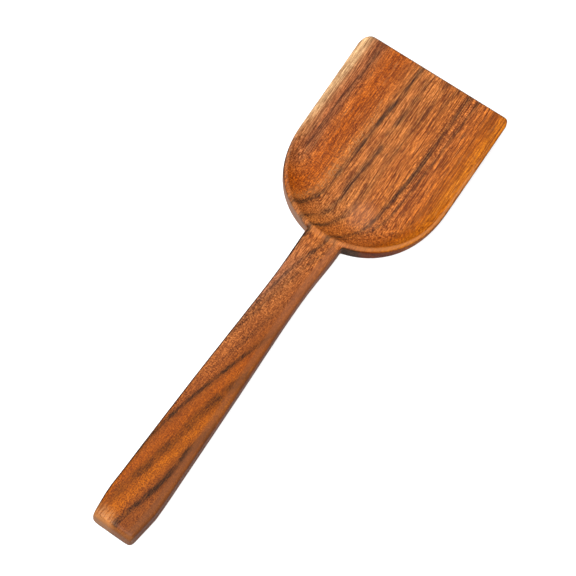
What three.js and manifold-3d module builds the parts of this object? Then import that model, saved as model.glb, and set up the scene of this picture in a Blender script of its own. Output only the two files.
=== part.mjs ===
// A wooden scoop spatula, carved from one piece of wood.
// Millimetres. X runs across the blade, Y from the handle to the front edge, Z up.

import * as THREE from 'three';
import Module from 'manifold-3d';

const wasm = await Module();
wasm.setup();

// Blade outline, seen from above, with its back at y = 0
const bladeLength = 118;
const rightHalfWidth = 47.7;
const leftHalfWidth = 47.7;
const rightHalfFront = 47.6;
const leftHalfFront = 48.1;
const widestFromBack = 52;
const rightBackFullnessShare = 0.46;
const leftBackFullnessShare = 0.5;
const sideFullnessShare = 0.7;
const rightCornerAcross = 3.2;
const rightCornerAlong = 5.5;
const leftCornerAcross = 6.2;
const leftCornerAlong = 8.5;

// Blade heights, measured from the flat sole
const rimHeight = 12;
const frontEdgeThickness = 2;
const rimFallPower = 2.3;
const floorThickness = 3.1;
const floorThinningPower = 3;

// Rim and edges of the blade
const backRimWidth = 2.7;
const sideRimWidth = 1.3;
const rimNarrowingLength = 42;
const rimEdgeRadius = 0.7;
const heelRadius = 3;
const wallLean = THREE.MathUtils.degToRad(6);
const largestEdgeShare = 0.3;
const largestHeelShare = 0.55;

// Scoop: how far its walls run from the rim to the flat floor
const sideWallRun = 10;
const backWallRun = 31;
const frontFloorRun = 5;
const wallTurn = THREE.MathUtils.degToRad(65);

// Handle, measured along its top
const handleLength = 202;
const neckWidth = 22;
const waistWidth = 20.3;
const waistFromNeck = 34;
const middleWidth = 25.1;
const hipWidth = 29;
const hipFromButt = 25;
const buttWidth = 25;
const buttTaperLength = 18;
const neckThickness = 12;
const waistThickness = 11;
const buttThickness = 14.6;
const handleTopRadius = 1.8;
const handleBottomRadius = 3.6;
const neckShift = 0.35;
const neckShiftLength = 60;
const buttShift = -0.8;
const buttShiftLength = 30;
const riseAtNeck = THREE.MathUtils.degToRad(8.2);
const riseAtButt = THREE.MathUtils.degToRad(6.2);

// Rounding of the butt, and the root that the handle keeps inside the blade
const buttRoundLength = 3.4;
const buttTopDrop = 3.4;
const buttBottomLift = 3.4;
const buttLeftDraw = 0.2;
const buttRightDraw = 1.1;
const buttSlant = THREE.MathUtils.degToRad(2);
const rootLength = 8;
const rootThicknessShare = 0.6;

// Cutting tools run past the wood by this much
const overrun = 1.5;

// How finely each stretch is divided
const backSteps = 26;
const sideSteps = 12;
const cornerSteps = 6;
const frontSteps = 8;
const roundSteps = 4;
const wallSteps = 9;
const handleSteps = 36;
const buttSteps = 6;
const sectionCornerSteps = 5;

// The two sides of the blade, of which the left one is a little fuller
const rightSide = {
  width: rightHalfWidth,
  backFullness: rightBackFullnessShare,
  front: rightHalfFront,
  across: rightCornerAcross,
  along: rightCornerAlong,
};
const leftSide = {
  width: leftHalfWidth,
  backFullness: leftBackFullnessShare,
  front: leftHalfFront,
  across: leftCornerAcross,
  along: leftCornerAlong,
};

// One half of a blade outline, from the middle of its back to the middle of its front
function halfOutline(side, sideInset, back, front) {
  const depth = widestFromBack - back;
  const halfWidth = side.width - sideInset;
  const halfFront = side.front - sideInset;
  const widest = new THREE.Vector2(halfWidth, widestFromBack);
  const backCurve = new THREE.CubicBezierCurve(
    new THREE.Vector2(0, back),
    new THREE.Vector2(halfWidth * side.backFullness, back),
    new THREE.Vector2(halfWidth, widestFromBack - depth * sideFullnessShare),
    widest,
  );
  const sideEnd = new THREE.Vector2(halfFront, front - side.along);
  const sideLine = new THREE.LineCurve(widest, sideEnd);
  const corner = new THREE.EllipseCurve(
    halfFront - side.across,
    front - side.along,
    side.across,
    side.along,
    0,
    Math.PI / 2,
  );
  const frontStart = new THREE.Vector2(halfFront - side.across, front);
  const frontLine = new THREE.LineCurve(frontStart, new THREE.Vector2(0, front));
  return [
    ...backCurve.getPoints(backSteps),
    ...sideLine.getPoints(sideSteps).slice(1),
    ...corner.getPoints(cornerSteps).slice(1),
    ...frontLine.getPoints(frontSteps).slice(1),
  ];
}

// A whole outline, counterclockwise from the middle of the back
function bladeOutline(sideInset, back, front) {
  const right = halfOutline(rightSide, sideInset, back, front);
  const left = halfOutline(leftSide, sideInset, back, front);
  const mirrored = left.slice(1, -1).reverse();
  return [...right, ...mirrored.map((point) => new THREE.Vector2(-point.x, point.y))];
}

// Moves each point of an outline towards the middle, by a distance measured square to the edge
function insetOutline(outline, distances) {
  const middle = new THREE.Vector2(0, bladeLength / 2);
  return outline.map((point, i) => {
    const next = outline[(i + 1) % outline.length];
    const last = outline[(i + outline.length - 1) % outline.length];
    const along = next.clone().sub(last).normalize();
    const inward = middle.clone().sub(point).normalize();
    const squareShare = inward.x * -along.y + inward.y * along.x;
    return point.clone().addScaledVector(inward, distances[i] / squareShare);
  });
}

// Height of the rim's top at a distance from the back of the blade
function rimTop(y) {
  const left = 1 - THREE.MathUtils.clamp(y / bladeLength, 0, 1);
  return frontEdgeThickness + (rimHeight - frontEdgeThickness) * left ** rimFallPower;
}

// Height of the rounded heel under a rim of some height
function heelTop(top) {
  return Math.min(heelRadius, top * largestHeelShare);
}

// How far the outer wall leans in from its heel up to the rim
function leanIn(top) {
  return (top - heelTop(top)) * Math.tan(wallLean);
}

// Width of the rim, broad at the neck and narrow along the sides
function rimWidth(y) {
  const share = THREE.MathUtils.smoothstep(y, 0, rimNarrowingLength);
  return THREE.MathUtils.lerp(backRimWidth, sideRimWidth, share);
}

// Height of the scoop's floor, which thins towards the front edge
function floorTop(y) {
  const gone = THREE.MathUtils.clamp(y / bladeLength, 0, 1) ** floorThinningPower;
  return floorThickness + (frontEdgeThickness - floorThickness) * gone;
}

// A ring of points from an outline and a height for each point
function ring(outline, heights) {
  return outline.map((point, i) => new THREE.Vector3(point.x, point.y, heights[i]));
}

// A closed body through rings of equal count, from the top down; one point makes a pole
function loft(rings) {
  const positions = [];
  const index = [];
  const starts = [];
  for (const points of rings) {
    starts.push(positions.length / 3);
    for (const point of points) {
      positions.push(point.x, point.y, point.z);
    }
  }
  for (let r = 0; r + 1 < rings.length; r += 1) {
    joinRings(index, starts[r], rings[r].length, starts[r + 1], rings[r + 1].length);
  }
  const geometry = new THREE.BufferGeometry();
  geometry.setAttribute('position', new THREE.Float32BufferAttribute(positions, 3));
  geometry.setIndex(index);
  return geometry;
}

// The faces between two neighbouring rings
function joinRings(index, upper, upperCount, lower, lowerCount) {
  const count = Math.max(upperCount, lowerCount);
  for (let i = 0; i < count; i += 1) {
    const j = (i + 1) % count;
    const a = upper + (upperCount > 1 ? i : 0);
    const b = upper + (upperCount > 1 ? j : 0);
    const c = lower + (lowerCount > 1 ? i : 0);
    const d = lower + (lowerCount > 1 ? j : 0);
    if (lowerCount > 1) {
      index.push(a, c, d);
    }
    if (upperCount > 1) {
      index.push(a, d, b);
    }
  }
}

// The blade before it is hollowed: rim band, outer wall, rounded heel and flat sole
function bladeBlank() {
  const outline = bladeOutline(0, 0, bladeLength);
  const tops = outline.map((point) => rimTop(point.y));
  const edges = tops.map((top) => Math.min(rimEdgeRadius, top * largestEdgeShare));
  const heels = tops.map(heelTop);
  const leans = tops.map(leanIn);
  const middle = bladeLength / 2;
  const bandInset = outline.map((point, i) => leans[i] + rimWidth(point.y) + overrun);
  const rings = [
    [new THREE.Vector3(0, middle, rimHeight)],
    ring(insetOutline(outline, bandInset), tops),
  ];
  for (let k = 0; k <= roundSteps; k += 1) {
    const turn = (k / roundSteps) * (Math.PI / 2);
    const insets = edges.map((radius, i) => leans[i] + radius * (1 - Math.sin(turn)));
    const heights = tops.map((top, i) => top - edges[i] * (1 - Math.cos(turn)));
    rings.push(ring(insetOutline(outline, insets), heights));
  }
  for (let k = 0; k <= roundSteps; k += 1) {
    const turn = (k / roundSteps) * (Math.PI / 2);
    const insets = heels.map((radius) => radius * (1 - Math.cos(turn)));
    const heights = heels.map((radius) => radius * (1 - Math.sin(turn)));
    rings.push(ring(insetOutline(outline, insets), heights));
  }
  rings.push([new THREE.Vector3(0, middle, 0)]);
  return loft(rings);
}

// The space of the scoop: floor, walls that curve up to the rim, and room above the rim
function scoopSpace() {
  const outline = bladeOutline(0, 0, bladeLength);
  const tops = outline.map((point) => rimTop(point.y));
  const insets = outline.map((point, i) => leanIn(tops[i]) + rimWidth(point.y));
  const mouth = insetOutline(outline, insets);
  const floor = bladeOutline(sideWallRun, backWallRun, bladeLength - frontFloorRun);
  const middle = (backWallRun + bladeLength - frontFloorRun) / 2;
  const lid = mouth.map(() => rimHeight + overrun);
  const rings = [[new THREE.Vector3(0, middle, rimHeight + overrun)], ring(mouth, lid)];
  for (let k = wallSteps; k >= 0; k -= 1) {
    const turn = (k / wallSteps) * wallTurn;
    const outShare = Math.sin(turn) / Math.sin(wallTurn);
    const upShare = (1 - Math.cos(turn)) / (1 - Math.cos(wallTurn));
    const level = floor.map((point, i) => point.clone().lerp(mouth[i], outShare));
    const heights = level.map((point, i) => (
      THREE.MathUtils.lerp(floorTop(point.y), tops[i], upShare)
    ));
    rings.push(ring(level, heights));
  }
  rings.push([new THREE.Vector3(0, middle, floorTop(middle))]);
  return loft(rings);
}

// A smooth curve through stations [place, value], with the slope at each from its neighbours
function valueAt(stations, place) {
  const last = stations.length - 2;
  let i = 0;
  while (i < last && place > stations[i + 1][0]) {
    i += 1;
  }
  const slope = (k) => {
    const from = stations[Math.max(k - 1, 0)];
    const to = stations[Math.min(k + 1, last + 1)];
    return (to[1] - from[1]) / (to[0] - from[0]);
  };
  const [start, startValue] = stations[i];
  const [end, endValue] = stations[i + 1];
  const span = end - start;
  const t = THREE.MathUtils.clamp((place - start) / span, 0, 1);
  const a = 2 * t ** 3 - 3 * t ** 2 + 1;
  const b = t ** 3 - 2 * t ** 2 + t;
  const c = t ** 3 - t ** 2;
  return a * startValue + b * span * slope(i) + (1 - a) * endValue + c * span * slope(i + 1);
}

// The handle's width at a distance from the neck
function handleWidth(s) {
  const hipFromNeck = handleLength - hipFromButt;
  const stations = [
    [0, neckWidth],
    [waistFromNeck, waistWidth],
    [(waistFromNeck + hipFromNeck) / 2, middleWidth],
    [hipFromNeck, hipWidth],
    [handleLength - buttTaperLength, hipWidth],
    [handleLength, buttWidth],
  ];
  return valueAt(stations, s);
}

// The handle's thickness at a distance from the neck, less inside the blade
function handleThickness(s) {
  const stations = [
    [-rootLength, neckThickness * rootThicknessShare],
    [0, neckThickness],
    [waistFromNeck, waistThickness],
    [handleLength, buttThickness],
  ];
  return valueAt(stations, s);
}

// How far the handle's middle line stands aside at its two ends, as handwork leaves it
function handleShift(s) {
  const fromButt = handleLength - s;
  const atNeck = neckShift * (1 - THREE.MathUtils.smoothstep(s, 0, neckShiftLength));
  const atButt = buttShift * (1 - THREE.MathUtils.smoothstep(fromButt, 0, buttShiftLength));
  return atNeck + atButt;
}

// A quarter of a rounded section's corner, counterclockwise from an angle
function cornerArc(x, z, radius, from) {
  const points = [];
  for (let k = 0; k <= sectionCornerSteps; k += 1) {
    const turn = from + (k / sectionCornerSteps) * (Math.PI / 2);
    points.push([x + radius * Math.cos(turn), z + radius * Math.sin(turn)]);
  }
  return points;
}

// A rounded section between two heights: soft below, crisper on top
function sectionOutline(halfWidth, top, bottom) {
  const room = (top - bottom) / 2;
  const upper = Math.min(handleTopRadius, room, halfWidth);
  const lower = Math.min(handleBottomRadius, room, halfWidth);
  return [
    ...cornerArc(halfWidth - upper, top - upper, upper, 0),
    ...cornerArc(upper - halfWidth, top - upper, upper, Math.PI / 2),
    ...cornerArc(lower - halfWidth, bottom + lower, lower, Math.PI),
    ...cornerArc(halfWidth - lower, bottom + lower, lower, -Math.PI / 2),
  ];
}

// One section of the handle, square to its top line
function handleSection(s) {
  const rise = THREE.MathUtils.lerp(riseAtNeck, riseAtButt, Math.max(s, 0) / handleLength);
  const chord = (riseAtNeck + rise) / 2;
  const y = -s * Math.cos(chord);
  const z = rimHeight + s * Math.sin(chord);
  const roundShare = THREE.MathUtils.clamp((s - handleLength + buttRoundLength) / buttRoundLength, 0, 1);
  const drawn = 1 - Math.sqrt(1 - roundShare ** 2);
  const outline = sectionOutline(
    (handleWidth(s) - (buttLeftDraw + buttRightDraw) * drawn) / 2,
    -buttTopDrop * drawn,
    buttBottomLift * drawn - handleThickness(s),
  );
  const shift = handleShift(s) + (buttLeftDraw - buttRightDraw) * drawn / 2;
  const slantShare = THREE.MathUtils.smoothstep(s, handleLength - buttTaperLength, handleLength);
  const slant = Math.tan(buttSlant) * slantShare;
  return outline.map(([across, up]) => new THREE.Vector3(
    across + shift,
    y + up * Math.sin(rise) - across * slant,
    z + up * Math.cos(rise),
  ));
}

// The handle, lofted from the butt to the root inside the blade
function handle() {
  const places = [];
  for (let k = 0; k <= buttSteps; k += 1) {
    const turn = (k / buttSteps) * (Math.PI / 2);
    places.push(handleLength - buttRoundLength * (1 - Math.cos(turn)));
  }
  const straight = handleLength - buttRoundLength;
  for (let k = 1; k <= handleSteps; k += 1) {
    places.push(THREE.MathUtils.lerp(straight, 0, k / handleSteps));
  }
  places.push(-rootLength);
  const sections = places.map(handleSection);
  return loft([[centre(sections[0])], ...sections, [centre(sections.at(-1))]]);
}

// The middle of a ring of points, in their plane
function centre(points) {
  const sum = points.reduce((total, point) => total.add(point), new THREE.Vector3());
  return sum.divideScalar(points.length);
}

// Solids for joining and cutting, and back to a mesh's geometry
function toSolid(geometry) {
  const mesh = new wasm.Mesh({
    numProp: 3,
    vertProperties: geometry.attributes.position.array,
    triVerts: new Uint32Array(geometry.index.array),
  });
  return new wasm.Manifold(mesh);
}

function toGeometry(solid) {
  const { vertProperties, triVerts } = solid.getMesh();
  const geometry = new THREE.BufferGeometry();
  geometry.setAttribute('position', new THREE.BufferAttribute(vertProperties, 3));
  geometry.setIndex(new THREE.BufferAttribute(triVerts, 1));
  geometry.computeVertexNormals();
  return geometry;
}

// The lowest point of the butt's half or of the blade's half, once the body is pitched
function lowest(geometry, pitch, atButt) {
  const position = geometry.attributes.position;
  const point = new THREE.Vector3();
  const low = new THREE.Vector3(0, 0, Infinity);
  const axis = new THREE.Vector3(1, 0, 0);
  for (let i = 0; i < position.count; i += 1) {
    point.fromBufferAttribute(position, i);
    const counts = (point.y < -handleLength / 2) === atButt;
    point.applyAxisAngle(axis, pitch);
    if (counts && point.z < low.z) {
      low.copy(point);
    }
  }
  return low;
}

// The pitch at which the heel of the blade and the butt lie on one level
function restingPitch(geometry) {
  const rounds = 12;
  let pitch = 0;
  for (let k = 0; k < rounds; k += 1) {
    const heel = lowest(geometry, pitch, false);
    const butt = lowest(geometry, pitch, true);
    pitch += Math.atan2(butt.z - heel.z, heel.y - butt.y);
  }
  return pitch;
}

const carved = toSolid(bladeBlank()).add(toSolid(handle())).subtract(toSolid(scoopSpace()));
const oiledWood = new THREE.MeshStandardMaterial({ color: 0x9a5527, roughness: 0.5, metalness: 0 });

const spatula = new THREE.Mesh(toGeometry(carved), oiledWood);
spatula.name = 'spatula';
spatula.rotation.x = restingPitch(spatula.geometry);

// The origin is under the middle of the spatula as it lies
const bounds = new THREE.Box3().setFromObject(spatula, true);
const middle = bounds.getCenter(new THREE.Vector3());
spatula.position.set(-middle.x, -middle.y, -bounds.min.z);

const woodenSpatula = new THREE.Group();
woodenSpatula.add(spatula);

export default woodenSpatula;
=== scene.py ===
# %% [markdown]
# # A carved wooden spatula
#
# This notebook dresses a wooden scoop spatula: a wide blade hollowed into a shallow bowl, and a
# flat-topped handle, all cut from one board of streaky brown wood and rubbed with oil. The shape
# comes from a measured model, which is loaded first and never changed. Everything here is in
# metres, in the frame of that model: X runs across the blade, Y from the handle to the front
# edge, and Z up.

import math

import bmesh
import bpy
from mathutils import Matrix, Vector


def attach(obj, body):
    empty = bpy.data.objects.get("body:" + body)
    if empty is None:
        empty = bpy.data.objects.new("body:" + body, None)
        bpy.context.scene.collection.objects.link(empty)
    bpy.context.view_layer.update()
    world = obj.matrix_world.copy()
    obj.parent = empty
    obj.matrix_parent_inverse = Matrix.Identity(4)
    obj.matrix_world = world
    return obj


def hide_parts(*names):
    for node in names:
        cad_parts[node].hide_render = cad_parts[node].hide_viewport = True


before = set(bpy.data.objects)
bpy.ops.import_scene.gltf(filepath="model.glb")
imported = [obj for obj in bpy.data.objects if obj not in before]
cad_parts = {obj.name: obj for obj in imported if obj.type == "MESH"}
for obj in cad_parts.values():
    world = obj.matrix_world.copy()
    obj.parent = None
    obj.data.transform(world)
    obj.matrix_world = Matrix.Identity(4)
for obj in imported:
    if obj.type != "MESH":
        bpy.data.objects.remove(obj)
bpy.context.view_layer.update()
scene = bpy.context.scene
MM = 0.001

# %% [markdown]
# ## The camera
#
# The spatula is seen from above and a little from the butt, from far away through a long lens, so
# that the blade and the handle keep their true proportions. A camera could be turned by eye, but
# here its place is worked out from three plain numbers: the azimuth round the object, the
# elevation above the table, and the roll that leans the handle across the picture.

# %% Camera
view_azimuth = math.radians(26.117)
view_elevation = math.radians(68.081)
view_roll = math.radians(-7.913)
view_distance = 2.0628
view_aim = Vector((-0.69, 10.58, 3.96)) * MM
view_lens = 235.78

away = Vector((
    math.sin(view_azimuth) * math.cos(view_elevation),
    -math.cos(view_azimuth) * math.cos(view_elevation),
    math.sin(view_elevation),
))
camera_data = bpy.data.cameras.new("photo_camera")
camera_data.lens = view_lens
camera_data.sensor_width = 36
camera_data.clip_end = 20
camera = bpy.data.objects.new("photo_camera", camera_data)
scene.collection.objects.link(camera)
turned = away.to_track_quat("Z", "Y").to_matrix().to_4x4() @ Matrix.Rotation(-view_roll, 4, "Z")
camera.matrix_world = Matrix.Translation(view_aim + away * view_distance) @ turned
scene.camera = camera
print("camera stands at", [round(v, 3) for v in camera.location])

# %% [markdown]
# ## Small helpers for shader nodes
#
# A procedural material is a graph, and written out link by link it is hard to read. A few small
# helpers make it read like sums: `add` makes a node, `feed` gives a socket a value or a link,
# `maths` is one step of arithmetic, `spread` maps one range onto another, and `blend_colour` lays
# one colour over another. Each hands back the socket that the next step needs.

# %% Node helpers
# the sockets of a Mix node that has been set to mix colours
mix_share, mix_under, mix_over, mix_result = 0, 6, 7, 2


def add(tree, kind, **settings):
    """A new shader node of a kind, with its settings."""
    made = tree.nodes.new("ShaderNode" + kind)
    for name, value in settings.items():
        setattr(made, name, value)
    return made


def feed(tree, socket, value):
    """Links a socket to another node's output, or sets it to a plain value."""
    if isinstance(value, bpy.types.NodeSocket):
        tree.links.new(value, socket)
    else:
        socket.default_value = value


def maths(tree, operation, *values, clamp=False):
    """One step of arithmetic on values or sockets."""
    made = add(tree, "Math", operation=operation, use_clamp=clamp)
    for socket, value in zip(made.inputs, values):
        feed(tree, socket, value)
    return made.outputs[0]


def blend_colour(tree, share, under, over, how="MIX"):
    """Lays one colour over another by a share."""
    made = add(tree, "Mix", data_type="RGBA", blend_type=how, clamp_factor=True)
    feed(tree, made.inputs[mix_share], share)
    feed(tree, made.inputs[mix_under], under)
    feed(tree, made.inputs[mix_over], over)
    return made.outputs[mix_result]


def spread(tree, value, low, high, to_low=0.0, to_high=1.0, how="SMOOTHSTEP"):
    """Maps low..high to to_low..to_high, held at both ends."""
    made = add(tree, "MapRange", interpolation_type=how)
    for socket, number in zip(made.inputs, (value, low, high, to_low, to_high)):
        feed(tree, socket, number)
    return made.outputs[0]


# %% [markdown]
# ## Floor and light
#
# The spatula lies on plain white, and a white floor has a price: it throws so much light back at
# the wood that the walls lose their dark edges. A smaller floor or a darker one would spoil the
# picture. So the floor is two things at once. The Light Path node tells whether a ray comes
# straight from the camera. Such a ray finds a floor that mostly glows, nearly white, and still
# takes a faint shadow. Every other ray finds a plain grey floor, which sends less light back. The
# backdrop beyond the floor works in the same way, white to look at and dim as a source of light.
#
# The light itself is that of a small studio. A broad box high behind the butt gives most of it.
# A weak one beyond the blade lays a sheen on the neck and in the deepest part of the bowl.

# %% Floor
floor_size = 8.0
floor_seen = (0.40, 0.40, 0.40, 1)
floor_glow = 0.75
floor_bounce = (0.45, 0.45, 0.45, 1)

floor_shape = bmesh.new()
bmesh.ops.create_grid(floor_shape, x_segments=1, y_segments=1, size=floor_size / 2)
floor_mesh = bpy.data.meshes.new("floor")
floor_shape.to_mesh(floor_mesh)
floor_shape.free()
floor = bpy.data.objects.new("floor", floor_mesh)
scene.collection.objects.link(floor)

floor_paint = bpy.data.materials.new("pale_floor")
floor_paint.use_nodes = True
floor_tree = floor_paint.node_tree
floor_shader = floor_tree.nodes["Principled BSDF"]
looked_at = add(floor_tree, "LightPath").outputs["Is Camera Ray"]
floor_tone = blend_colour(floor_tree, looked_at, floor_bounce, floor_seen)
feed(floor_tree, floor_shader.inputs["Base Color"], floor_tone)
floor_shader.inputs["Emission Color"].default_value = (1, 1, 1, 1)
floor_light = maths(floor_tree, "MULTIPLY", looked_at, floor_glow)
feed(floor_tree, floor_shader.inputs["Emission Strength"], floor_light)
floor_shader.inputs["Roughness"].default_value = 1.0
floor_shader.inputs["Specular IOR Level"].default_value = 0.0
floor_mesh.materials.append(floor_paint)
print("floor", floor_size, "m square")

# %% Lights
lit_point = (0, 0.03, 0.01)


def softbox(name, place, size, watts):
    """A square area light that looks at the middle of the spatula."""
    data = bpy.data.lights.new(name, "AREA")
    data.shape = "SQUARE"
    data.size = size
    data.energy = watts
    lamp = bpy.data.objects.new(name, data)
    lamp.location = place
    lamp.rotation_euler = (Vector(lit_point) - Vector(place)).to_track_quat("-Z", "Y").to_euler()
    scene.collection.objects.link(lamp)


softbox("overhead_box", place=(-0.15, -0.60, 1.5), size=1.2, watts=54)
softbox("far_box", place=(-0.25, 0.70, 1.2), size=0.5, watts=4)

# %% Backdrop
room_light = 0.35
backdrop_white = 1.0

world = bpy.data.worlds.new("studio")
world.use_nodes = True
world_tree = world.node_tree
backdrop = world_tree.nodes["Background"]
backdrop.inputs["Color"].default_value = (1, 1, 1, 1)
seen_directly = add(world_tree, "LightPath").outputs["Is Camera Ray"]
added_white = backdrop_white - room_light
backdrop_light = maths(world_tree, "MULTIPLY_ADD", seen_directly, added_white, room_light)
feed(world_tree, backdrop.inputs["Strength"], backdrop_light)
scene.world = world
scene.view_settings.view_transform = "Standard"
print("backdrop lights the room at", room_light)

# %% [markdown]
# ## The carved body
#
# The measured model is made of flat facets, which is right for measuring and wrong for looking
# at. Its mesh must stay as it is, so the visible body starts from a copy whose loose triangles
# are merged. A Remesh modifier then covers it with small even faces, fine enough for crisp edges
# and just coarse enough for a mesh of under 200,000 triangles. A Smooth modifier eases the facets
# and rounds every edge a little, as sandpaper does. Smoothing also pulls the whole surface in by
# a tenth of a millimetre, so a Displace modifier pushes it out again by as much. Subdivision
# would be lighter, but it needs clean four-sided faces, and a body joined from two solids does
# not have them.

# %% Fine body
voxel = 0.65 * MM
smoothing_rounds = 4
sanded_off = 0.1 * MM
doubles_within = 0.001 * MM

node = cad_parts["spatula"]
merged = bmesh.new()
merged.from_mesh(node.data)
bmesh.ops.remove_doubles(merged, verts=merged.verts, dist=doubles_within)
body_mesh = bpy.data.meshes.new("carved_body")
merged.to_mesh(body_mesh)
merged.free()
body = bpy.data.objects.new("carved_body", body_mesh)
scene.collection.objects.link(body)

remesh = body.modifiers.new("even_faces", "REMESH")
remesh.mode = "VOXEL"
remesh.voxel_size = voxel
remesh.use_smooth_shade = True
sanding = body.modifiers.new("sanding", "SMOOTH")
sanding.factor = 0.5
sanding.iterations = smoothing_rounds
regained = body.modifiers.new("regained", "DISPLACE")
regained.strength = sanded_off
regained.mid_level = 0
evaluated = body.evaluated_get(bpy.context.evaluated_depsgraph_get())
fine_mesh = bpy.data.meshes.new_from_object(evaluated)
body.modifiers.clear()
body.data = fine_mesh
fine_mesh.materials.clear()
print("body has", len(fine_mesh.vertices), "vertices and", len(fine_mesh.polygons), "faces")

# %% [markdown]
# ## Where shade and highlights are painted
#
# Not every part of the carved spatula gets the same colour. Walls that look outwards or inwards
# get painted shade, darker than the top. The upper edges of the handle and the top of the rim get
# a painted highlight, and the front edge and the foot of the butt get painted shade. Where the cut
# crosses the fibres, at the butt and round the back of the blade, end grain shows, and its colour
# there also carries painted highlights and painted shade. A material could find some of these
# places through the angle of the surface, but hardly the top of a rim that rises and falls. So
# each place is worked out once, from where a point lies and which way its normal looks, and kept
# on the
# mesh as an attribute: a number from 0 to 1 that the material reads.

# %% Helpers for places
# Limits are lengths along an axis of the frame, or cosines between the normal and a direction.
blade_start = 40 * MM
blade_full = 45 * MM
blade_middle = 100 * MM
# the axis of the handle ends inside the butt, so that the end face looks outwards as well
axis_end = -150 * MM


def ease(value, low, high):
    """A smooth step from 0 at low to 1 at high."""
    share = min(max((value - low) / (high - low), 0), 1)
    return share * share * (3 - 2 * share)


def on_blade(place):
    """1 on the blade and 0 on the handle."""
    return ease(place.y, blade_start, blade_full)


def looks_out(place, normal):
    """1 where the surface looks away from the middle of its wood, -1 where it looks inwards."""
    if place.y > blade_start:
        heart = Vector((0, blade_middle, place.z))
    else:
        heart = Vector((0, max(place.y, axis_end), place.z))
    return normal.dot((place - heart).normalized())


# %% Walls
def wall_places(place, normal):
    """Walls that look out or in, the left walls behind the bend, and the end grain."""
    outwards = looks_out(place, normal)
    left = ease(outwards, 0.3, 0.75) * ease(-normal.x, 0, 0.4)
    leans_up = 0.15 + 0.85 * ease(normal.z, 0.03, 0.22)
    behind_bend = ease(place.y, 95 * MM, 70 * MM)
    across_fibres = ease(outwards, 0.25, 0.65) * ease(-normal.y, 0.35, 0.75)
    return {
        "outward": max(outwards, 0),
        "inward": on_blade(place) * ease(-outwards, 0.08, 0.35),
        "left_side": left * leans_up * behind_bend,
        "end_cut": on_blade(place) * across_fibres,
        "end_right": ease(place.x, 18 * MM, 25 * MM),
    }


# %% Rubbed edges
slice_tops = {}
slice_rights = {}
for vertex in fine_mesh.vertices:
    step = round(vertex.co.y / MM)
    slice_tops[step] = max(slice_tops.get(step, 0), vertex.co.z)
    slice_rights[step] = max(slice_rights.get(step, 0), vertex.co.x)
print("measured", len(slice_tops), "slices, 1 mm apart")


def edge_places(place, normal):
    """The top of the rim, the front edge, the handle's upper edges and its right margin."""
    step = round(place.y / MM)
    below_rim = slice_tops[step] - place.z
    from_right = slice_rights[step] - place.x
    outwards = looks_out(place, normal)
    at_side = ease(abs(place.x), 45.7 * MM, 46.5 * MM) * ease(place.y, 152 * MM, 138 * MM)
    at_back = ease(place.y, 100 * MM, 85 * MM)
    rim_top = ease(below_rim, 0.5 * MM, 0.1 * MM) * ease(normal.z, 0.55, 0.85)
    upper_edge = ease(outwards, 0.12, 0.26) * ease(outwards, 0.5, 0.36)
    return {
        "rim_line": on_blade(place) * rim_top * max(at_side, at_back),
        "front_edge": ease(place.y, 158.6 * MM, 159.9 * MM),
        # where the material paints a thin highlight on the handle's upper edges
        "worn_edge": (1 - on_blade(place)) * upper_edge,
        "right_band": (1 - on_blade(place)) * ease(from_right, 6.5 * MM, 3 * MM),
    }


# %% Butt
def butt_places(place, normal):
    """The end face of the handle, its pale left corner and the edge that touches the table."""
    end_face = ease(place.y, -155.5 * MM, -159 * MM)
    not_top = 1 - 0.8 * ease(normal.z, 0.6, 0.95)
    return {
        "butt": end_face * not_top,
        "butt_left": ease(place.x, 3 * MM, -6 * MM) * ease(place.y, -148 * MM, -157 * MM),
        "underneath": end_face * ease(place.z, 5 * MM, 3.5 * MM),
    }


# %% Surface attributes
for find_places in (wall_places, edge_places, butt_places):
    points = [find_places(vertex.co, vertex.normal) for vertex in fine_mesh.vertices]
    for name in points[0]:
        layer = fine_mesh.attributes.new(name, "FLOAT", "POINT")
        layer.data.foreach_set("value", [point[name] for point in points])
        print(name, "is over a half at", sum(point[name] > 0.5 for point in points), "points")

# %% [markdown]
# ## Where the wood grew
#
# Wood is a solid pattern: the same growth layers run through the whole board, and carving only
# uncovers them. So the figure is not painted on the surface. A field tells how far each point of
# the board lies across its growth layers, and every streak is one value of that field. The board
# lay flat with the sole of the blade, and its layers lean, so a streak that runs straight along
# the flat floor of the bowl sweeps sideways where the carving climbs the back wall, and crosses
# the rising handle at a slant.

# %% Board coordinates
# The sole is tilted, because the spatula lies on the heel of its blade and on its butt. Turned
# flat, it lies this many millimetres below the origin.
sole_pitch = math.radians(6.509)
sole_level = 4.728


def board_point(tree):
    """Across, along and above the sole of the board, in millimetres, from Object coordinates."""
    place = add(tree, "TexCoord")
    turn = add(tree, "Mapping", vector_type="POINT")
    feed(tree, turn.inputs["Scale"], (1 / MM, 1 / MM, 1 / MM))
    feed(tree, turn.inputs["Rotation"], (-sole_pitch, 0, 0))
    feed(tree, turn.inputs["Location"], (0, 0, sole_level))
    feed(tree, turn.inputs["Vector"], place.outputs["Object"])
    return turn.outputs["Vector"]


def noise(tree, point, grain, detail=1.0, seed=0.0):
    """Smooth noise whose blobs measure grain millimetres across, along and up."""
    stretched = add(tree, "Mapping", vector_type="POINT")
    feed(tree, stretched.inputs["Scale"], tuple(1 / size for size in grain))
    feed(tree, stretched.inputs["Location"], (seed, seed, seed))
    feed(tree, stretched.inputs["Vector"], point)
    made = add(tree, "TexNoise", noise_dimensions="3D")
    feed(tree, made.inputs["Vector"], stretched.outputs["Vector"])
    feed(tree, made.inputs["Scale"], 1.0)
    feed(tree, made.inputs["Detail"], detail)
    feed(tree, made.inputs["Roughness"], 0.5)
    return made.outputs[0]


# %% Growth field
# how far the layers lean sideways for each millimetre up, and the height where they count from
layer_lean = 1.7
bowl_floor = 3.1
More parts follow.
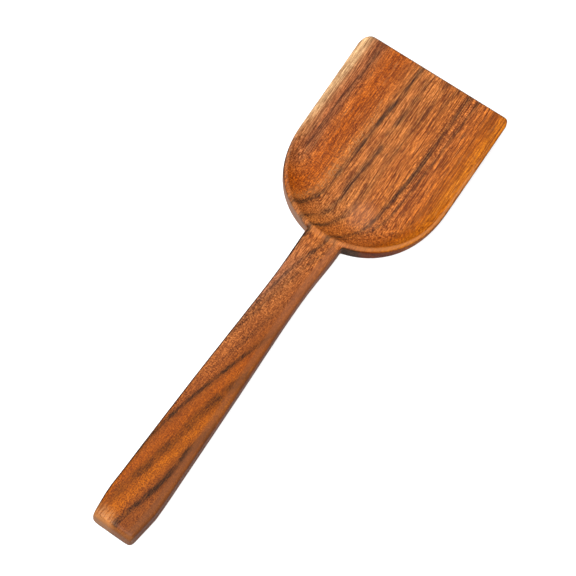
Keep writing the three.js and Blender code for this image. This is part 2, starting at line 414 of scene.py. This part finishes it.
# blob size (across, along, up) in mm, sideways sway in mm, seed
growth_waves = [
    ((26, 80, 26), 1.4, 3.1),
    ((7, 30, 7), 1.2, 7.7),
    ((1.8, 14, 1.8), 0.7, 1.3),
    ((0.5, 14, 0.5), 1.3, 8.2),
]


def growth_group():
    """Point of the board in; its place across the growth layers out, gently wavy."""
    tree = bpy.data.node_groups.new("growth_layers", "ShaderNodeTree")
    tree.interface.new_socket("Board point", in_out="INPUT", socket_type="NodeSocketVector")
    tree.interface.new_socket("Growth", in_out="OUTPUT", socket_type="NodeSocketFloat")
    tree.interface.new_socket("Along", in_out="OUTPUT", socket_type="NodeSocketFloat")
    point = tree.nodes.new("NodeGroupInput").outputs[0]
    end = tree.nodes.new("NodeGroupOutput")
    parts = add(tree, "SeparateXYZ")
    feed(tree, parts.inputs[0], point)
    across, along, height = parts.outputs
    above_floor = maths(tree, "SUBTRACT", height, bowl_floor)
    growth = maths(tree, "MULTIPLY_ADD", above_floor, layer_lean, across)
    for grain, sway, seed in growth_waves:
        wave = noise(tree, point, grain, seed=seed)
        centred = maths(tree, "SUBTRACT", wave, 0.5)
        growth = maths(tree, "MULTIPLY_ADD", centred, sway, growth)
    feed(tree, end.inputs[0], growth)
    feed(tree, end.inputs[1], along)
    return tree


growth_layers = growth_group()
print("growth layers sway in", len(growth_waves), "waves")

# %% [markdown]
# ## Dark streaks
#
# Heartwood like this has ribbons of dark mineral colour, each wandering on its own. One stretched
# noise would give streaks anywhere, but these have their places: a strong one right of the middle
# that runs on into the handle, one near the sapwood, and so on. Each streak is a route, given as
# a few points of place along the board, place across the growth and strength. A Float Curve
# carries the route, and one node group turns the distance from it into a soft dark ribbon. A
# streak is never even: noise along its length makes it paler here and there, and one of them is
# broken into a chain of blots.

# %% Streak routes
# name: half width in mm, then points of (along in mm, growth in mm, strength from 0 to 1)
streaks = {
    "beside_sapwood": (1.7, [
        (158, -37, 0.45), (140, -36.5, 0.5), (120, -37.2, 0.45), (94, -38, 0.4), (84, -39, 0),
    ]),
    "left_strong": (1.8, [
        (160, -11.2, 0.9), (148, -11.6, 0.8), (128, -12.1, 1), (112, -12.7, 1), (100, -13.4, 0.75),
        (88, -14.7, 0.9), (76, -15.2, 0.75), (62, -15, 0.75), (50, -12, 1),
    ]),
    "left_broken": (2.1, [
        (158, -3.5, 0.5), (135, -3.5, 0.6), (117, -4.1, 0.9), (105, -3.4, 0.95), (95, -4.5, 0.7),
        (75, -5.5, 0.75), (60, -4.5, 0.65), (48, -2.5, 0.9),
    ]),
    "middle": (1.9, [
        (158, 6, 0.4), (140, 5.5, 0.45), (110, 5, 0.5), (90, 4.2, 0.5), (70, 3.3, 0.5),
        (60, 3.8, 0.6), (48, 5, 0.9),
    ]),
    "front_only": (1.6, [(160, 12.6, 0.5), (144, 11.5, 0.4), (130, 11.5, 0)]),
    "long_strong": (1.6, [
        (160, 20.3, 0.8), (138, 20.1, 0.8), (116, 20.8, 0.9), (96, 19.8, 0.85), (82, 18.4, 0.85),
        (68, 17.5, 0.85), (52, 17.9, 0.8), (38, 18, 0.8), (20, 17, 0.75), (0, 18.2, 0.65),
        (-20, 20, 0.4), (-40, 21, 0),
    ]),
    "long_rippled": (1.0, [
        (158, 25.6, 0.7), (130, 25.2, 0.65), (104, 25.1, 0.65), (84, 23.8, 0.65), (68, 22, 0.55),
        (52, 20.8, 0.5), (40, 23, 0.5), (14, 21.6, 0.5), (-20, 22.7, 0.4), (-40, 23, 0.1),
    ]),
    "faint_purple": (1.8, [
        (60, 30, 0), (10, 31, 0.25), (-20, 31, 0.4), (-46, 30.5, 0.2), (-60, 30, 0),
    ]),
    "right_long": (1.5, [
        (158, 36.5, 0.25), (95, 36.3, 0.3), (60, 35.5, 0.4), (10, 39.5, 0.5), (-22, 39, 0.75),
        (-40, 37.3, 0.85), (-60, 36, 0.85), (-84, 35.1, 0.95), (-110, 35.3, 0.9),
    ]),
    "handle_broad": (3.6, [
        (-40, 47.5, 0.65), (-50, 47, 0.72), (-60, 46.2, 0.72), (-80, 45.5, 0.72), (-98, 46.2, 0.7),
        (-115, 46.4, 0.7), (-130, 45.6, 0.55), (-155, 46, 0.35),
    ]),
    "handle_edge": (2.3, [
        (-78, 56, 0.7), (-96, 56, 0.85), (-114, 58.2, 0.85), (-130, 59, 0.9), (-145, 58, 0.9),
        (-158, 57, 0.7),
    ]),
}
# how much of its strength a streak loses where it is weakest
usual_gaps = 0.25
wide_gaps = {"left_broken": 0.75}
print(len(streaks), "streaks, each with its own route")

# %% Routes as curves
board_reach = (-170.0, 170.0)
growth_reach = (-70.0, 90.0)


def share_of(reach, value):
    """Where a value lies in a reach, from 0 to 1."""
    return (value - reach[0]) / (reach[1] - reach[0])


def along_curve(tree, along_share, points):
    """A Float Curve through points of (along in mm, value from 0 to 1)."""
    made = add(tree, "FloatCurve")
    curve = made.mapping.curves[0]
    ordered = sorted((share_of(board_reach, along), value) for along, value in points)
    curve.points[0].location = ordered[0]
    curve.points[1].location = ordered[-1]
    for point in ordered[1:-1]:
        curve.points.new(*point)
    for point in curve.points:
        point.handle_type = "AUTO_CLAMPED"
    made.mapping.update()
    feed(tree, made.inputs["Value"], along_share)
    return made.outputs[0]


# %% Streak group
# distances from the route, in half widths, where the halo and the core of a streak begin and end
halo_sides = (2.4, 0.5)
core_sides = (1.0, 0.25)
halo_dark = 0.35
core_dark = 1 - halo_dark
# the noise values where a streak is weakest and where it is strongest, and its strength there
weak_and_strong = (0.38, 0.62)
strongest = 1.15


def times(tree, *values):
    """The product of several values or sockets."""
    product = values[0]
    for value in values[1:]:
        product = maths(tree, "MULTIPLY", product, value)
    return product


def streak_group():
    """Strength of one streak: full on its route, soft at its sides, uneven along its length."""
    tree = bpy.data.node_groups.new("streak", "ShaderNodeTree")
    for name in ("Growth", "Route", "Half width", "Strength", "Unevenness", "Gaps"):
        tree.interface.new_socket(name, in_out="INPUT", socket_type="NodeSocketFloat")
    tree.interface.new_socket("Streak", in_out="OUTPUT", socket_type="NodeSocketFloat")
    start = tree.nodes.new("NodeGroupInput")
    end = tree.nodes.new("NodeGroupOutput")
    growth, route, half_width, strength, uneven, gaps = start.outputs[:6]
    off = maths(tree, "ABSOLUTE", maths(tree, "SUBTRACT", growth, route))
    near = maths(tree, "DIVIDE", off, half_width)
    halo = spread(tree, near, *halo_sides, 0.0, halo_dark)
    profile = maths(tree, "MULTIPLY_ADD", spread(tree, near, *core_sides), core_dark, halo)
    weakest = maths(tree, "SUBTRACT", 1.0, gaps)
    lively = spread(tree, uneven, *weak_and_strong, weakest, strongest)
    feed(tree, end.inputs[0], times(tree, profile, times(tree, strength, lively)))
    return tree


soft_streak = streak_group()
inputs = [item.name for item in soft_streak.interface.items_tree if item.in_out == "INPUT"]
print("a streak is made from", inputs)

# %% [markdown]
# ## Fibres, flecks and ripple
#
# Between the streaks the wood is never plain. Fine fibres run along the board, some of them pale,
# and short flecks of open pores lie among them. Where the fibres interlock, they make a ripple of
# marks across the grain, and tiny specks dot the wood, most of all on the handle. Broad clouds of
# lighter and darker wood drift through it all. Each is noise stretched to its own size. They are
# bundled in one group, so that colour, gloss and relief can share them, and a light sway bends
# the fine ones, because no fibre is straight.

# %% Fibre group
# blob size (across, along, up) in mm, detail, seed
fibre_kinds = {
    "Fibres": ((0.48, 18, 0.48), 1.5, 2.9),
    "Flecks": ((0.42, 3.0, 0.42), 1.0, 9.4),
    "Ripple": ((1.5, 0.55, 1.5), 1.0, 6.6),
    "Specks": ((0.6, 0.75, 0.6), 0.0, 2.2),
    "Pale lines": ((0.5, 12, 0.5), 1.0, 4.9),
}
sway_size = (9, 34, 9)
sway_width = 2.5
cloud_size = (8, 24, 8)


def fibre_group():
    """Point of the board in; each kind of fibre and the clouds out, about 0 to 1."""
    tree = bpy.data.node_groups.new("wood_fibres", "ShaderNodeTree")
    tree.interface.new_socket("Board point", in_out="INPUT", socket_type="NodeSocketVector")
    point = tree.nodes.new("NodeGroupInput").outputs[0]
    end = tree.nodes.new("NodeGroupOutput")
    sway = noise(tree, point, sway_size, seed=5.2)
    shift = add(tree, "CombineXYZ")
    feed(tree, shift.inputs[0], times(tree, maths(tree, "SUBTRACT", sway, 0.5), sway_width))
    swayed = add(tree, "VectorMath", operation="ADD")
    feed(tree, swayed.inputs[0], point)
    feed(tree, swayed.inputs[1], shift.outputs[0])
    for name, (grain, detail, seed) in fibre_kinds.items():
        tree.interface.new_socket(name, in_out="OUTPUT", socket_type="NodeSocketFloat")
        fibres = noise(tree, swayed.outputs[0], grain, detail=detail, seed=seed)
        feed(tree, end.inputs[name], fibres)
    tree.interface.new_socket("Clouds", in_out="OUTPUT", socket_type="NodeSocketFloat")
    feed(tree, end.inputs["Clouds"], noise(tree, point, cloud_size, detail=2.0, seed=4.4))
    return tree


wood_fibres = fibre_group()
print("fibre group has", list(fibre_kinds), "and clouds")

# %% [markdown]
# ## The colour of the wood
#
# Across the growth layers the wood goes from cream sapwood at one edge of the blade, through a
# purplish band and warm orange browns, to golden wood at the other edge. Two Color Ramps hold
# that sequence, one for the blade and one for the handle, which years of hands have darkened.
# Their stops stand where the layers change, in millimetres across the growth.
#
# A colour as it is seen is not the colour of the wood itself: the studio light brightens it, and
# the oil adds a little white sheen. The helper `seen` takes both away again, so that every colour
# below can be written as it should look in the picture.

# %% Colours
light_gain = 1.885
sheen_level = 0.018
darkest = 0.001


def seen(red, green, blue):
    """The base colour that shows as this colour, 0 to 255, in the light of this studio."""
    # the standard curve between a screen's numbers and light
    linear = [((c / 255 + 0.055) / 1.055) ** 2.4 for c in (red, green, blue)]
    return (*(max(c - sheen_level, darkest) / light_gain for c in linear), 1.0)


# place across the growth in mm, colour
blade_layers = [
    (-56, seen(228, 188, 144)),
    (-44.8, seen(222, 177, 131)),
    (-42.6, seen(196, 134, 90)),
    (-40, seen(172, 104, 66)),
    (-35.5, seen(166, 98, 60)),
    (-33, seen(188, 106, 54)),
    (-28, seen(186, 97, 40)),
    (-21, seen(182, 99, 46)),
    (-15, seen(190, 113, 60)),
    (-8, seen(194, 118, 66)),
    (1, seen(203, 125, 68)),
    (9, seen(190, 111, 58)),
    (16, seen(194, 114, 58)),
    (24, seen(186, 108, 58)),
    (31, seen(190, 108, 53)),
    (38, seen(188, 102, 41)),
    (43, seen(200, 116, 42)),
    (54, seen(202, 116, 42)),
    (78, seen(190, 108, 44)),
]
handle_layers = [
    (5, seen(198, 133, 95)),
    (15, seen(192, 124, 86)),
    (21, seen(179, 110, 65)),
    (27, seen(176, 103, 57)),
    (32, seen(166, 94, 51)),
    (37, seen(162, 90, 44)),
    (41, seen(180, 95, 40)),
    (46, seen(184, 98, 38)),
    (52, seen(192, 106, 38)),
    (57, seen(160, 88, 44)),
    (63, seen(148, 83, 44)),
    (70, seen(134, 78, 42)),
    (80, seen(118, 70, 38)),
]


def layer_ramp(tree, growth, layers):
    """The colour of each growth layer."""
    ramp = add(tree, "ValToRGB")
    elements = ramp.color_ramp.elements
    while len(elements) < len(layers):
        elements.new(0.5)
    for element, (place, colour) in zip(elements, layers):
        element.position = share_of(growth_reach, place)
        element.color = colour
    feed(tree, ramp.inputs[0], spread(tree, growth, *growth_reach, how="LINEAR"))
    return ramp.outputs["Color"]


# %% Layers of the board
# along the board in mm, where the blade's colours end and where the handle's are full
handle_colours = (46, 6)

# From here on, the helpers add their nodes to the tree of the wood.
oiled_wood = bpy.data.materials.new("oiled_streaky_wood")
oiled_wood.use_nodes = True
tree = oiled_wood.node_tree
shader = tree.nodes["Principled BSDF"]

board = board_point(tree)
field = add(tree, "Group", node_tree=growth_layers)
feed(tree, field.inputs[0], board)
growth, along = field.outputs["Growth"], field.outputs["Along"]
along_share = spread(tree, along, *board_reach, how="LINEAR")

blade_colour = layer_ramp(tree, growth, blade_layers)
handle_colour = layer_ramp(tree, growth, handle_layers)
on_handle = spread(tree, along, *handle_colours)
colour = blend_colour(tree, on_handle, blade_colour, handle_colour)
print("layers:", len(blade_layers), "on the blade and", len(handle_layers), "on the handle")

# %% Streaks on the board
patch_size = (12, 9, 12)


def lay_streak(label, half_width, route, strengths, gaps, seed):
    """One streak on its route; both lists hold (along in mm, growth in mm or strength)."""
    shares = [(along, share_of(growth_reach, place)) for along, place in route]
    centre = along_curve(tree, along_share, shares)
    streak = add(tree, "Group", node_tree=soft_streak, label=label)
    feed(tree, streak.inputs["Growth"], growth)
    feed(tree, streak.inputs["Route"], spread(tree, centre, 0, 1, *growth_reach, how="LINEAR"))
    feed(tree, streak.inputs["Half width"], half_width)
    feed(tree, streak.inputs["Strength"], along_curve(tree, along_share, strengths))
    feed(tree, streak.inputs["Unevenness"], noise(tree, board, patch_size, seed=seed))
    feed(tree, streak.inputs["Gaps"], gaps)
    return streak.outputs[0]


darkness = 0.0
for number, (name, (half_width, points)) in enumerate(streaks.items()):
    route = [(along_mm, growth_mm) for along_mm, growth_mm, _ in points]
    strengths = [(along_mm, strength) for along_mm, _, strength in points]
    gaps = wide_gaps.get(name, usual_gaps)
    streak = lay_streak(name, half_width, route, strengths, gaps, seed=11.0 + number)
    darkness = maths(tree, "MAXIMUM", darkness, streak)
print("laid", len(streaks), "dark streaks")

# %% [markdown]
# ## Grain over the layers
#
# The clouds, fibres, flecks, ripple and specks are laid over the layers as tints. A tint
# multiplies the colour below it and never covers it, just as pores and oil change the tone of
# real wood and let its colour through. Each tint swings both ways, paler and darker, or the wood
# as a whole would turn dark.
#
# The grain isn't equally strong everywhere. The golden wood on the right, the sapwood and the
# neck are calm, the orange wood on the left has more specks and fainter lines, and two places are
# rippled: a band right of the middle, and the left back of the bowl. A mask says where each kind
# of wood lies, and the masks set the strength of the tints.

# %% Masks for kinds of wood
# Every pair says where one side of a kind of wood begins and where it is full, in millimetres
# across the growth or along the board. What is calm has the strength of its grain lowered.
sapwood_ends = (-44, -38)


def band(value, begins, ends):
    """1 inside a band with soft sides, 0 outside it."""
    return times(tree, spread(tree, value, *begins), spread(tree, value, *ends))


orange_wood = band(growth, begins=(-40, -34), ends=(-12, -20))
rippled_band = band(growth, begins=(16, 20), ends=(27, 23))
left_back = times(tree, spread(tree, growth, -10, -18), spread(tree, along, 96, 84))

neck_middle = 36
calm_golden = spread(tree, growth, 31, 37, 1.0, 0.6)
calm_sapwood = spread(tree, growth, *sapwood_ends, 0.65, 1.0)
from_neck = maths(tree, "ABSOLUTE", maths(tree, "SUBTRACT", along, neck_middle))
calm_neck = spread(tree, from_neck, 18, 32, 0.55, 1.0)
streaks_on_handle = times(tree, darkness, on_handle)
liveliness = maths(tree, "MAXIMUM", calm_golden, streaks_on_handle)


def by_place(blade_strength, handle_strength):
    """A strength on the blade and on the handle, lower in the calm golden wood."""
    strength = spread(tree, on_handle, 0.0, 1.0, blade_strength, handle_strength, how="LINEAR")
    return times(tree, strength, liveliness)


print("wood has", len(tree.nodes), "nodes before its grain")

# %% Clouds and fibres
# kind: how far the noise strays from a half, tint where it is low, tint where it is high
grain_tints = {
    "Fibres": (0.16, (0.46, 0.37, 0.32), (1.51, 1.60, 1.65)),
    "Flecks": (0.14, (1.43, 1.51, 1.54), (0.48, 0.38, 0.31)),
    "Ripple": (0.14, (1.30, 1.35, 1.38), (0.66, 0.58, 0.52)),
    "Specks": (0.16, (1.36, 1.42, 1.44), (0.60, 0.51, 0.45)),
}
cloud_tints = ((0.94, 0.91, 0.89), (1.05, 1.06, 1.06))
# strength of the lines in most of the blade, in its orange wood and on the handle
lines_usual, lines_in_orange, lines_on_handle = 1.3, 0.8, 0.55
# strength of the flecks on the blade and on the handle
flecks_on_blade, flecks_on_handle = 0.7, 0.3
# strength of the ripple where the fibres run straight and where they interlock
ripple_least, ripple_most = 0.35, 1.5
ripple_at_left_back = 0.6

fibre = add(tree, "Group", node_tree=wood_fibres)
feed(tree, fibre.inputs[0], board)


def tinted(colour, share, low, high):
    """A colour multiplied by a tint that goes from low to high with a share from 0 to 1."""
    tint = blend_colour(tree, share, (*low, 1), (*high, 1))
    return blend_colour(tree, 1.0, colour, tint, how="MULTIPLY")


def grained(colour, kind, strength):
    """A colour under one kind of grain, whose strength is 1 where it shows in full."""
    reach, low, high = grain_tints[kind]
    found = spread(tree, fibre.outputs[kind], 0.5 - reach, 0.5 + reach, how="LINEAR")
    share = maths(tree, "MULTIPLY_ADD", maths(tree, "SUBTRACT", found, 0.5), strength, 0.5)
    return tinted(colour, share, low, high)


clouds = spread(tree, fibre.outputs["Clouds"], 0.3, 0.7)
colour = tinted(colour, clouds, *cloud_tints)

lines_on_blade = spread(tree, orange_wood, 0.0, 1.0, lines_usual, lines_in_orange)
lines = by_place(times(tree, lines_on_blade, calm_sapwood), lines_on_handle)
flecks = times(tree, by_place(flecks_on_blade, flecks_on_handle), calm_sapwood, calm_neck)
rippled = maths(tree, "MAXIMUM", rippled_band, times(tree, left_back, ripple_at_left_back))
ripple = spread(tree, rippled, 0.0, 1.0, ripple_least, ripple_most, how="LINEAR")
colour = grained(colour, "Fibres", lines)
colour = grained(colour, "Flecks", flecks)
colour = grained(colour, "Ripple", ripple)
print("wood has", len(tree.nodes), "nodes with its clouds, fibres, flecks and ripple")

# %% Specks
specks_on_handle = 1.0
more_in_orange = 0.3
fewer_at_left_back = -0.4

speck_patches = noise(tree, board, (7, 9, 7), seed=3.7)
patchy = spread(tree, speck_patches, 0.35, 0.65, 0.75, 1.25)
denser_at_grip = spread(tree, along, -100, -145, 1.0, 1.5)
blade_base = spread(tree, growth, *sapwood_ends, 0.1, 0.4)
blade_specks = maths(tree, "MULTIPLY_ADD", orange_wood, more_in_orange, blade_base)
blade_specks = maths(tree, "MULTIPLY_ADD", left_back, fewer_at_left_back, blade_specks)
specks = by_place(blade_specks, specks_on_handle)
specks = times(tree, specks, times(tree, patchy, denser_at_grip), calm_neck)
colour = grained(colour, "Specks", specks)
print("wood has", len(tree.nodes), "nodes with its specks")

# %% [markdown]
# ## Pale lines and pale flecks
#
# Some fibres catch the light and look pale, and along the left side of the strong left streak
# the ripple breaks into pale flecks. Both are lighter than the wood below them, which a tint
# can't show without burning out, so a pale colour is blended over the wood instead. The flecks
# follow the streak, so they borrow its route and its node group. The dark streaks come last, on
# top of the grain, and the fibres show through them.

# %% Pale flecks, pale lines and dark streaks
# the flecks lie this many millimetres left of the streak, in a zone of this half width
flecks_beside = 3.4
fleck_half_width = 2.4
fleck_gaps = 0.4
fleck_strengths = [
    (160, 0), (128, 0.1), (114, 0.75), (102, 0.8), (92, 0.5), (80, 0.8), (66, 0.7), (54, 0),
]
fleck_colour = seen(232, 168, 104)
line_colour = seen(236, 180, 118)
streak_tint = (0.20, 0.25, 0.42)

strong_points = streaks["left_strong"][1]
fleck_route = [(along_mm, growth_mm - flecks_beside) for along_mm, growth_mm, _ in strong_points]
fleck_zone = lay_streak(
    "pale_flecks", fleck_half_width, fleck_route, fleck_strengths, fleck_gaps, seed=31.0,
)
glints = spread(tree, fibre.outputs["Ripple"], 0.46, 0.60, 0.0, 0.6)
glints = maths(tree, "MULTIPLY", fleck_zone, glints, clamp=True)
colour = blend_colour(tree, glints, colour, fleck_colour)

pale_lines = spread(tree, fibre.outputs["Pale lines"], 0.60, 0.72, 0.0, 0.15)
fewer_on_handle = spread(tree, on_handle, 0.0, 1.0, 1.0, 0.2)
colour = blend_colour(tree, times(tree, pale_lines, fewer_on_handle), colour, line_colour)

fibrous = spread(tree, fibre.outputs["Fibres"], 0.3, 0.7, 1.1, 0.85)
dark_share = maths(tree, "MULTIPLY", darkness, fibrous, clamp=True)
colour = tinted(colour, dark_share, (1, 1, 1), streak_tint)
print("wood has", len(tree.nodes), "nodes with its pale flecks, pale lines and streaks")

# %% [markdown]
# ## Painted shade, painted highlights and end grain
#
# Last come painted shade and painted highlights, nearly all in places that the mesh attributes
# hold, and the end grain. Painted shade on walls, edges and end grain is laid on as tints. Pale
# places have a colour of their own, which is blended over the wood: a painted sheen in the bowl, a
# greyer band along the right margin of the handle, the end face of the butt and a painted
# highlight on the top of the rim. A mask keeps most of the painted shade of the walls off the
# sapwood.

# %% Helpers for worn places
def place_share(name, low=0.0, high=1.0):
    """How much a point belongs to one of the surface attributes."""
    found = add(tree, "Attribute", attribute_name=name)
    return spread(tree, found.outputs["Fac"], low, high)


def stained(colour, share, tint):
    """A colour multiplied by a tint where the share is 1, and untouched where it is 0."""
    return tinted(colour, share, (1, 1, 1), tint)


# %% Bowl and outer walls
# the middle of a painted sheen on the board, and how far from it the sheen begins and is full
painted_sheen_patch = (10, 68, 3.5)
painted_sheen_sides = (13, 3)
painted_sheen_colour = seen(222, 158, 122)
# tints of the painted shade on the outer and the inner walls
outer_wall_shade_tint = (0.88, 0.82, 0.68)
inner_wall_shade_tint = (0.93, 0.87, 0.79)

# painted shade on the outer walls, mostly on the blade and mostly kept off the sapwood
heartwood = spread(tree, growth, -44, -18, 0.3, 1.0)
outer_wall_shade = times(tree, place_share("outward", 0.75, 0.97), heartwood, fewer_on_handle)
colour = stained(colour, outer_wall_shade, outer_wall_shade_tint)

# a painted sheen, pale and pinkish, where the floor of the bowl bends up into the back wall
from_painted_sheen = add(tree, "VectorMath", operation="DISTANCE")
feed(tree, from_painted_sheen.inputs[0], board)
from_painted_sheen.inputs[1].default_value = painted_sheen_patch
painted_sheen = spread(tree, from_painted_sheen.outputs["Value"], *painted_sheen_sides, 0.0, 0.2)
colour = blend_colour(tree, painted_sheen, colour, painted_sheen_colour)

# painted shade on the inner walls of the bowl
inner_wall_shade = times(tree, place_share("inward"), heartwood)
colour = stained(colour, inner_wall_shade, inner_wall_shade_tint)
print("pale patch in the bowl at", painted_sheen_patch, "mm on the board")

# %% Sides of the handle
# tints of painted shade on the left walls, of a painted highlight on the upper edges and of
# painted shade on the right wall; then the greyer browns of the handle's right margin
left_wall_shade_tint = (0.27, 0.28, 0.34)
edge_highlight_tint = (1.08, 1.22, 1.60)
right_wall_tint = (1.14, 0.94, 0.46)
margin_tone_behind = seen(140, 88, 58)
margin_tone_at_neck = seen(164, 103, 70)
margin_strength = 0.55

# painted shade on the left walls of the handle and of the back of the blade
colour = stained(colour, place_share("left_side"), left_wall_shade_tint)
# a thin painted highlight along the upper edges of the handle, where they start to round over
colour = stained(colour, place_share("worn_edge"), edge_highlight_tint)
# a greyer, darker brown blended over the right margin of the handle
right_margin = place_share("right_band")
margin_tone = blend_colour(tree, spread(tree, along, -30, 0), margin_tone_behind, margin_tone_at_neck)
colour = blend_colour(tree, times(tree, right_margin, margin_strength), colour, margin_tone)
# painted shade on the right wall of the handle: warmer and with much less blue, which takes the
# grey reflection of the floor out of it
right_wall = times(tree, place_share("outward", 0.82, 0.96), right_margin)
colour = stained(colour, right_wall, right_wall_tint)
print("wood has", len(tree.nodes), "nodes with the walls and the sides of the handle")

# %% Butt and front edge
# colours and tints of the butt, with a painted highlight on its left and painted shade on its
# right, painted shadow at its foot, and painted shade along the front edge of the blade
corner_colour = seen(226, 162, 106)
face_right = seen(146, 84, 46)
face_left = seen(196, 130, 80)
fibre_colour = seen(214, 154, 104)
corner_strength = 0.42
fibre_strength = 0.25
face_strength = 0.8
butt_shadow_tint = (0.44, 0.39, 0.37)
front_edge_shade_tint = (0.84, 1.00, 1.40)

# the left corner of the butt: a painted highlight over crisp fibres
crisp_fibres = spread(tree, fibre.outputs["Fibres"], 0.38, 0.6, 0.3, 1.3)
corner_share = times(tree, place_share("butt_left"), corner_strength, crisp_fibres)
colour = blend_colour(tree, corner_share, colour, corner_colour)
# the end face of the butt: end grain colour, paler on the left as a painted highlight and darker
# on the right as painted shade
face_tone = blend_colour(tree, place_share("butt_left", 0.0, 0.8), face_right, face_left)
fibre_share = times(tree, crisp_fibres, fibre_strength)
face_tone = blend_colour(tree, fibre_share, face_tone, fibre_colour)
face_share = times(tree, place_share("butt"), face_strength)
colour = blend_colour(tree, face_share, colour, face_tone)
# painted shadow along the foot of the butt, where it meets the table
colour = stained(colour, place_share("underneath"), butt_shadow_tint)
# painted shade: a darker, greyer line along the front edge of the blade
colour = stained(colour, place_share("front_edge"), front_edge_shade_tint)
print("wood has", len(tree.nodes), "nodes with its butt and front edge")

# %% End grain behind the blade
# colours of the end grain round the back of the blade, with painted highlight and painted shade in
# them
end_pale_colour = seen(194, 148, 120)
end_dark_tint = (0.20, 0.29, 0.50, 1)
end_right_tint = (0.52, 0.36, 0.10, 1)

end_cut = place_share("end_cut")
# left of the neck the end grain turns pale grey, as a painted highlight
pale_end = times(tree, end_cut, spread(tree, growth, 4, -6, 0.0, 0.7))
colour = blend_colour(tree, pale_end, colour, end_pale_colour)
# right of the neck the end grain turns nearly black: a dark streak, deepened by painted shade in
# the crease beside the handle
fading = spread(tree, growth, 60, 36, 0.35, 1.0)
dark_end = times(tree, end_cut, spread(tree, growth, 2, 12), fading)
end_tint = blend_colour(tree, place_share("end_right"), end_dark_tint, end_right_tint)
shaded_end_grain = blend_colour(tree, 1.0, colour, end_tint, how="MULTIPLY")
colour = blend_colour(tree, dark_end, colour, shaded_end_grain)
print("wood has", len(tree.nodes), "nodes with its end grain")

# %% Top of the rim
rim_sapwood = seen(232, 188, 142)
rim_heartwood = seen(226, 154, 98)

# a painted highlight along the top of the rim, paler over the sapwood
rim_tone = blend_colour(tree, spread(tree, growth, -30, -18), rim_sapwood, rim_heartwood)
rim_highlight_right = spread(tree, growth, 5, 50, 0.1, 0.4)
rim_highlight_left = times(tree, spread(tree, growth, -18, -30, 0.0, 0.3), spread(tree, along, 80, 100))
rim_highlight = maths(tree, "MAXIMUM", rim_highlight_right, rim_highlight_left)
colour = blend_colour(tree, times(tree, place_share("rim_line"), rim_highlight), colour, rim_tone)
feed(tree, shader.inputs["Base Color"], colour)
print("wood has", len(tree.nodes), "nodes with the top of its rim")

# %% [markdown]
# ## The oiled surface
#
# Oil leaves wood satin and not glossy, because it sinks in. So the reflection is weak, and its
# roughness follows the fibres: dense ones shine a little more than open ones. The pores are far
# too fine for the mesh, so a Bump node gives them six hundredths of a millimetre of relief. It
# only catches the light; every visible form is in the mesh.

# %% Surface of the oiled wood
rough_fibres = 0.52
dense_fibres = 0.38
pore_depth = 0.06 * MM

gloss = spread(tree, fibre.outputs["Fibres"], 0.2, 0.8, rough_fibres, dense_fibres)
feed(tree, shader.inputs["Roughness"], gloss)
shader.inputs["Specular IOR Level"].default_value = 0.09
relief = add(tree, "Bump")
relief.inputs["Strength"].default_value = 0.5
relief.inputs["Distance"].default_value = pore_depth
pores = maths(tree, "SUBTRACT", fibre.outputs["Fibres"], fibre.outputs["Flecks"])
feed(tree, relief.inputs["Height"], pores)
feed(tree, shader.inputs["Normal"], relief.outputs[0])
fine_mesh.materials.append(oiled_wood)
print("wood has", len(tree.nodes), "nodes")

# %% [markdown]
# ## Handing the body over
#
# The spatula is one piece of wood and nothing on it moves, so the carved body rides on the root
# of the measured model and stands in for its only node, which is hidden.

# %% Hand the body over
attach(body, "root")
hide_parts("spatula")
